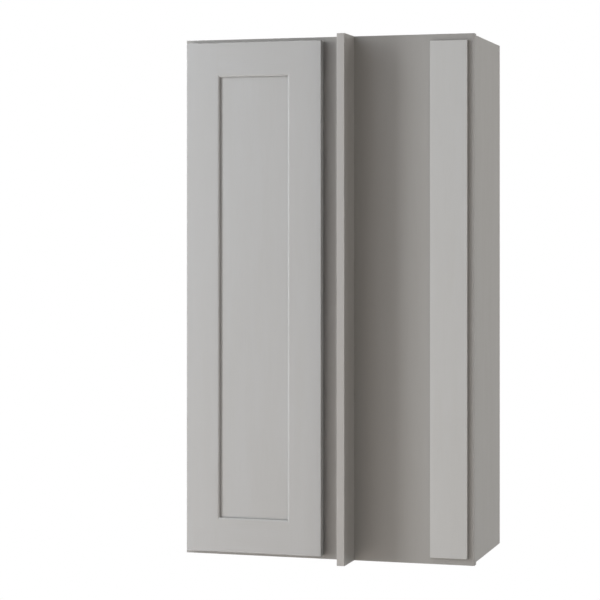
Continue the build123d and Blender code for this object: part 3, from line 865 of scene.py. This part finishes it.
studio = {
    "floorHeight": -3.4,          # the studio hangs the cabinet high, so that it can be seen from below too
    "floorRadius": 40.0,
    "floorFacets": 96,
    "floorShade": 0.86,
    "floorRoughness": 0.9,
    "floorWhite": 0.8,            # how white the camera sees the floor near the middle, 1 being fully
    "whiteRing": (2.0, 5.0),      # between these distances the floor turns fully white
    "worldStrength": 0.03,
    "worldColour": (1.0, 0.985, 0.965),
    "target": (0.0, -0.2, 0.53),  # the middle of the cabinet, which the lamps point at
}
lamps = {                         # degrees, metres and watts
    "key": {"azimuth": -51.0, "elevation": 5.0, "distance": 2.2, "size": (0.55, 2.4), "power": 33.0,
            "colour": (0.946, 0.975, 1.0)},
    "keySpread": {"azimuth": -40.0, "elevation": 5.0, "distance": 2.4, "size": (1.6, 2.4), "power": 5.1,
                  "colour": (0.88, 0.95, 1.0)},
    "high": {"azimuth": -42.0, "elevation": 42.0, "distance": 2.4, "size": (2.0, 0.7), "power": 11.2,
             "colour": (0.87, 0.93, 1.0)},
    "low": {"azimuth": -25.0, "elevation": -35.0, "distance": 2.4, "size": (1.7, 0.7), "power": 12.3,
            "colour": (1.0, 0.912, 0.83)},
    "front": {"azimuth": -5.0, "elevation": 5.0, "distance": 3.0, "size": (1.2, 2.4), "power": 1.5,
              "colour": (1.0, 0.75, 0.88)},
    "right": {"azimuth": 47.0, "elevation": 5.0, "distance": 4.0, "size": (1.4, 3.0), "power": 29.9,
              "colour": (1.0, 0.958, 0.885)},
    "rightBack": {"azimuth": 108.0, "elevation": 8.0, "distance": 4.0, "size": (1.4, 3.0), "power": 48.9,
                  "colour": (1.0, 0.975, 0.94)},
    "top": {"azimuth": -60.0, "elevation": 78.0, "distance": 3.5, "size": (2.0, 2.0), "power": 14.0,
            "colour": (1.0, 1.0, 1.0)},
    "back": {"azimuth": -166.0, "elevation": 20.0, "distance": 4.0, "size": (1.6, 2.0), "power": 60.0,
             "colour": (1.0, 1.0, 1.0)},
    "leftBack": {"azimuth": -125.0, "elevation": 15.0, "distance": 4.0, "size": (2.0, 2.4), "power": 20.0,
                 "colour": (1.0, 1.0, 1.0)},
}


def backgroundRays(tree):
    # 1 for rays that should see the background white: camera, mirror-like and see-through
    path = addNode(tree, "ShaderNodeLightPath").outputs
    seen = maths(tree, "MAXIMUM", path["Is Camera Ray"], path["Is Glossy Ray"])
    return maths(tree, "MAXIMUM", seen, path["Is Transmission Ray"])


def makeFloor():
    bpy.ops.mesh.primitive_circle_add(vertices=studio["floorFacets"], radius=studio["floorRadius"],
                                      fill_type="NGON", location=(0, 0, studio["floorHeight"]))
    floor = bpy.context.object
    floor.name = "floor"
    material, tree, shader = newMaterial("pale_floor")
    shader.inputs["Base Color"].default_value = (*[studio["floorShade"]] * 3, 1.0)
    shader.inputs["Roughness"].default_value = studio["floorRoughness"]
    glow = addNode(tree, "ShaderNodeEmission", {"Color": (1, 1, 1, 1), "Strength": 1.0}).outputs[0]
    away = addNode(tree, "ShaderNodeVectorMath", {0: objectPlace(tree)}, operation="LENGTH")
    white = between(tree, away.outputs["Value"], studio["floorWhite"], 1.0, *studio["whiteRing"])
    share = maths(tree, "MULTIPLY", backgroundRays(tree), white)
    mixer = addNode(tree, "ShaderNodeMixShader", {0: share, 1: shader.outputs[0], 2: glow}).outputs[0]
    tree.links.new(mixer, tree.nodes["Material Output"].inputs["Surface"])
    floor.data.materials.append(material)


def makeWorld():
    world = bpy.data.worlds.new("studio")
    bpy.context.scene.world = world
    world.use_nodes = True
    tree = world.node_tree
    ambient = tree.nodes["Background"]
    ambient.inputs["Color"].default_value = (*studio["worldColour"], 1.0)
    ambient.inputs["Strength"].default_value = studio["worldStrength"]
    white = addNode(tree, "ShaderNodeBackground", {"Color": (1, 1, 1, 1), "Strength": 1.0}).outputs[0]
    mixer = addNode(tree, "ShaderNodeMixShader", {0: backgroundRays(tree), 1: ambient.outputs[0], 2: white})
    tree.links.new(mixer.outputs[0], tree.nodes["World Output"].inputs["Surface"])


def makeLamp(name, look):
    # azimuth 0 is straight in front, and a positive one is to the right
    turn, lift = math.radians(look["azimuth"]), math.radians(look["elevation"])
    way = Vector((math.sin(turn) * math.cos(lift), -math.cos(turn) * math.cos(lift), math.sin(lift)))
    data = bpy.data.lights.new(name, "AREA")
    data.shape = "RECTANGLE"
    data.size, data.size_y = look["size"]
    data.energy, data.color = look["power"], look["colour"]
    lamp = inScene(name, data)
    lamp.location = Vector(studio["target"]) + way * look["distance"]
    lamp.rotation_euler = way.to_track_quat("Z", "Y").to_euler()


photoView = {                     # the photograph's own camera, found from the cabinet's corners
    "place": (1.122, -4.3268, 0.682),
    "turn": 16.36,                # degrees, with the camera kept level
    "lens": 122.6,                # millimetres, as is the sensor's width
    "sensor": 36.0,
    "shiftY": -0.1245,
}


def makeCamera():
    data = bpy.data.cameras.new("camera")
    data.lens, data.sensor_width, data.shift_y = photoView["lens"], photoView["sensor"], photoView["shiftY"]
    camera = inScene("camera", data)
    camera.location = photoView["place"]
    camera.rotation_euler = (math.pi / 2, 0, math.radians(photoView["turn"]))
    bpy.context.scene.camera = camera


makeFloor()
makeWorld()
for name, look in lamps.items():
    makeLamp(name, look)
makeCamera()
bpy.context.scene.view_settings.view_transform = "Standard"
print("studio ready")
